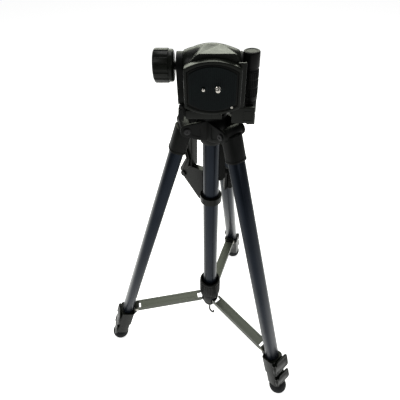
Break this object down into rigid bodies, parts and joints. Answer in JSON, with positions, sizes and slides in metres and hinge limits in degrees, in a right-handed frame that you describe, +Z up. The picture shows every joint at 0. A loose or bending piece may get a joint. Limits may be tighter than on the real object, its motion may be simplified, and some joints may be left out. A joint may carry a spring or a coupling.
{
  "type": "tripod with pan and tilt head",
  "caption": "Folding three-section tripod with geared column, spreader braces, flip locks and a pan and tilt head with quick-release plate, tipped 90 degrees forward.",
  "frame": {"origin": "on the floor, on the axis of the centre tube", "axes": "+Z up along the centre tube; the camera plate faces -Y at rest; +X is to the right of someone facing the plate, where the pan handle is"},
  "size_m": [0.3654, 0.3701, 0.6086],
  "materials": {
    "black_plastic": "fine moulded matte black",
    "satin_plastic": "satin moulded grey-black",
    "tube": "blue-black anodised, satin",
    "channel": "olive-grey paint on folded sheet",
    "bright_steel": "plated, bright",
    "dark_steel": "black coated steel",
    "rubber": "moulded black rubber"
  },
  "bodies": {
    "frame": {"spider": "black_plastic", "centre_tube": "tube", "end_plug": "black_plastic", "crank_housing": "black_plastic", "carry_handle": "satin_plastic", "handle_collar": "satin_plastic", "leg_right_hinge_pin": "dark_steel", "leg_rear_hinge_pin": "dark_steel", "leg_left_hinge_pin": "dark_steel"},
    "hook": {"weight_hook": "dark_steel"},
    "column": {"column": "satin_plastic"},
    "crank": {"crank_shaft": "bright_steel", "crank_arm": "black_plastic"},
    "crank_grip": {"crank_grip": "black_plastic"},
    "hub": {"brace_hub": "black_plastic"},
    "pan": {"pan_base": "black_plastic"},
    "pan_knob": {"pan_lock_knob": "black_plastic"},
    "tilt": {"tilt_body": "satin_plastic", "platform": "satin_plastic", "pan_handle": "black_plastic"},
    "tilt_knob": {"tilt_knob": "satin_plastic"},
    "plate": {"quick_release_plate": "black_plastic", "plate_pad": "rubber"},
    "release_lever": {"release_lever": "black_plastic"},
    "camera_screw": {"camera_screw": "bright_steel"},
    "video_pin": {"video_pin": "bright_steel"},
    "handle_grip": {"handle_grip": "black_plastic"},
    "leg_right": {"leg_right_sleeve": "black_plastic", "leg_right_upper_tube": "tube", "leg_right_upper_lock": "satin_plastic", "brace_pin_right": "bright_steel"},
    "brace_right": {"brace_right": "channel"},
    "upper_lever_right": {"leg_right_upper_lever": "satin_plastic"},
    "middle_right": {"leg_right_middle_tube": "tube", "leg_right_lower_lock": "satin_plastic"},
    "lower_lever_right": {"leg_right_lower_lever": "satin_plastic"},
    "lower_right": {"leg_right_lower_tube": "tube", "foot_right": "rubber"},
    "leg_rear": {"leg_rear_sleeve": "black_plastic", "leg_rear_upper_tube": "tube", "leg_rear_upper_lock": "satin_plastic", "brace_pin_rear": "bright_steel"},
    "brace_rear": {"brace_rear": "channel"},
    "upper_lever_rear": {"leg_rear_upper_lever": "satin_plastic"},
    "middle_rear": {"leg_rear_middle_tube": "tube", "leg_rear_lower_lock": "satin_plastic"},
    "lower_lever_rear": {"leg_rear_lower_lever": "satin_plastic"},
    "lower_rear": {"leg_rear_lower_tube": "tube", "foot_rear": "rubber"},
    "leg_left": {"leg_left_sleeve": "black_plastic", "leg_left_upper_tube": "tube", "leg_left_upper_lock": "satin_plastic", "brace_pin_left": "bright_steel"},
    "brace_left": {"brace_left": "channel"},
    "upper_lever_left": {"leg_left_upper_lever": "satin_plastic"},
    "middle_left": {"leg_left_middle_tube": "tube", "leg_left_lower_lock": "satin_plastic"},
    "lower_lever_left": {"leg_left_lower_lever": "satin_plastic"},
    "lower_left": {"leg_left_lower_tube": "tube", "foot_left": "rubber"}
  },
  "joints": [
    {"name": "column_rise", "type": "slide", "parent": "frame", "child": "column", "axis": [0, 0, 1], "range_m": [0, 0.18]},
    {"name": "crank_turn", "type": "hinge", "parent": "frame", "child": "crank", "pos_m": [0, 0, 0.421], "axis": [0.9767, 0.2147, 0], "range_deg": [-1950, 0]},
    {"name": "crank_grip_fold", "type": "hinge", "parent": "crank", "child": "crank_grip", "pos_m": [0.0292, 0.00642, 0.391], "axis": [-0.2147, 0.9767, 0], "range_deg": [0, 90]},
    {"name": "hook_swivel", "type": "hinge", "parent": "frame", "child": "hook", "pos_m": [0, 0, 0.08], "axis": [0, 0, 1], "continuous": true},
    {"name": "hub_rise", "type": "slide", "parent": "frame", "child": "hub", "axis": [0, 0, 1], "range_m": [0, 0.0935]},
    {"name": "leg_right_fold", "type": "hinge", "parent": "frame", "child": "leg_right", "pos_m": [0.02495, -0.02732, 0.5067], "axis": [0.7385, 0.6743, 0], "range_deg": [0, 5]},
    {"name": "brace_right_fold", "type": "hinge", "parent": "leg_right", "child": "brace_right", "pos_m": [0.10384, -0.11372, 0.0995], "axis": [0.7385, 0.6743, 0], "range_deg": [0, 42.55]},
    {"name": "upper_lever_right_open", "type": "hinge", "parent": "leg_right", "child": "upper_lever_right", "pos_m": [0.11863, -0.14801, 0.09153], "axis": [0.2121, -0.2322, -0.9493], "range_deg": [0, 100]},
    {"name": "middle_right_extend", "type": "slide", "parent": "leg_right", "child": "middle_right", "axis": [0.2121, -0.2322, -0.9493], "range_m": [0, 0.32]},
    {"name": "lower_lever_right_open", "type": "hinge", "parent": "middle_right", "child": "lower_lever_right", "pos_m": [0.12662, -0.15557, 0.05461], "axis": [0.2121, -0.2322, -0.9493], "range_deg": [0, 100]},
    {"name": "lower_right_extend", "type": "slide", "parent": "middle_right", "child": "lower_right", "axis": [0.2121, -0.2322, -0.9493], "range_m": [0, 0.32]},
    {"name": "leg_rear_fold", "type": "hinge", "parent": "frame", "child": "leg_rear", "pos_m": [0.01119, 0.03527, 0.5067], "axis": [-0.9532, 0.3024, 0], "range_deg": [0, 5.01]},
    {"name": "brace_rear_fold", "type": "hinge", "parent": "leg_rear", "child": "brace_rear", "pos_m": [0.04657, 0.14679, 0.0995], "axis": [-0.9532, 0.3024, 0], "range_deg": [0, 42.55]},
    {"name": "upper_lever_rear_open", "type": "hinge", "parent": "leg_rear", "child": "upper_lever_rear", "pos_m": [0.06887, 0.17674, 0.09153], "axis": [0.0951, 0.2998, -0.9493], "range_deg": [0, 100]},
    {"name": "middle_rear_extend", "type": "slide", "parent": "leg_rear", "child": "middle_rear", "axis": [0.0951, 0.2998, -0.9493], "range_m": [0, 0.32]},
    {"name": "lower_lever_rear_open", "type": "hinge", "parent": "middle_rear", "child": "lower_lever_rear", "pos_m": [0.07142, 0.18744, 0.05461], "axis": [0.0951, 0.2998, -0.9493], "range_deg": [0, 100]},
    {"name": "lower_rear_extend", "type": "slide", "parent": "middle_rear", "child": "lower_rear", "axis": [0.0951, 0.2998, -0.9493], "range_m": [0, 0.32]},
    {"name": "leg_left_fold", "type": "hinge", "parent": "frame", "child": "leg_left", "pos_m": [-0.03614, -0.00795, 0.5067], "axis": [0.2147, -0.9767, 0], "range_deg": [0, 5.01]},
    {"name": "brace_left_fold", "type": "hinge", "parent": "leg_left", "child": "brace_left", "pos_m": [-0.15041, -0.03307, 0.0995], "axis": [0.2147, -0.9767, 0], "range_deg": [0, 42.55]},
    {"name": "upper_lever_left_open", "type": "hinge", "parent": "leg_left", "child": "upper_lever_left", "pos_m": [-0.1875, -0.02873, 0.09153], "axis": [-0.3072, -0.0675, -0.9493], "range_deg": [0, 100]},
    {"name": "middle_left_extend", "type": "slide", "parent": "leg_left", "child": "middle_left", "axis": [-0.3072, -0.0675, -0.9493], "range_m": [0, 0.32]},
    {"name": "lower_lever_left_open", "type": "hinge", "parent": "middle_left", "child": "lower_lever_left", "pos_m": [-0.19804, -0.03187, 0.05461], "axis": [-0.3072, -0.0675, -0.9493], "range_deg": [0, 100]},
    {"name": "lower_left_extend", "type": "slide", "parent": "middle_left", "child": "lower_left", "axis": [-0.3072, -0.0675, -0.9493], "range_m": [0, 0.32]},
    {"name": "pan", "type": "hinge", "parent": "column", "child": "pan", "pos_m": [0, 0, 0.5238], "axis": [0, 0, 1], "continuous": true},
    {"name": "pan_knob_turn", "type": "hinge", "parent": "pan", "child": "pan_knob", "pos_m": [0.0005, -0.018, 0.533], "axis": [0, -1, 0], "range_deg": [0, 360]},
    {"name": "tilt", "type": "hinge", "parent": "pan", "child": "tilt", "pos_m": [0, 0, 0.583], "axis": [-1, 0, 0], "range_deg": [0, 120]},
    {"name": "tilt_knob_turn", "type": "hinge", "parent": "tilt", "child": "tilt_knob", "pos_m": [-0.046, 0, 0.583], "axis": [-1, 0, 0], "range_deg": [0, 360]},
    {"name": "plate_release", "type": "slide", "parent": "tilt", "child": "plate", "axis": [0, -1, 0], "range_m": [0, 0.03]},
    {"name": "release_lever_open", "type": "hinge", "parent": "tilt", "child": "release_lever", "pos_m": [-0.0366, -0.04, 0.549], "axis": [0, 1, 0], "range_deg": [0, 30]},
    {"name": "camera_screw_turn", "type": "hinge", "parent": "plate", "child": "camera_screw", "pos_m": [0.0067, -0.0416, 0.574], "axis": [0, -1, 0], "continuous": true},
    {"name": "video_pin_press", "type": "slide", "parent": "plate", "child": "video_pin", "axis": [0, 1, 0], "range_m": [0, 0.0035], "stiffness_N_per_m": 300},
    {"name": "handle_grip_twist", "type": "hinge", "parent": "tilt", "child": "handle_grip", "pos_m": [0.0473, 0, 0.562], "axis": [-0.0237, 0, 0.9997], "range_deg": [0, 360]}
  ],
  "couplings": [
    {"joint": "crank_turn", "follows": "column_rise", "rad_per_m": -188.68},
    {"joint": "brace_right_fold", "follows": "leg_right_fold", "ratio": 8.5},
    {"joint": "leg_rear_fold", "follows": "leg_right_fold", "ratio": 1},
    {"joint": "brace_rear_fold", "follows": "leg_right_fold", "ratio": 8.5},
    {"joint": "leg_left_fold", "follows": "leg_right_fold", "ratio": 1},
    {"joint": "brace_left_fold", "follows": "leg_right_fold", "ratio": 8.5},
    {"joint": "hub_rise", "follows": "leg_right_fold", "m_per_rad": 1.0654}
  ]
}
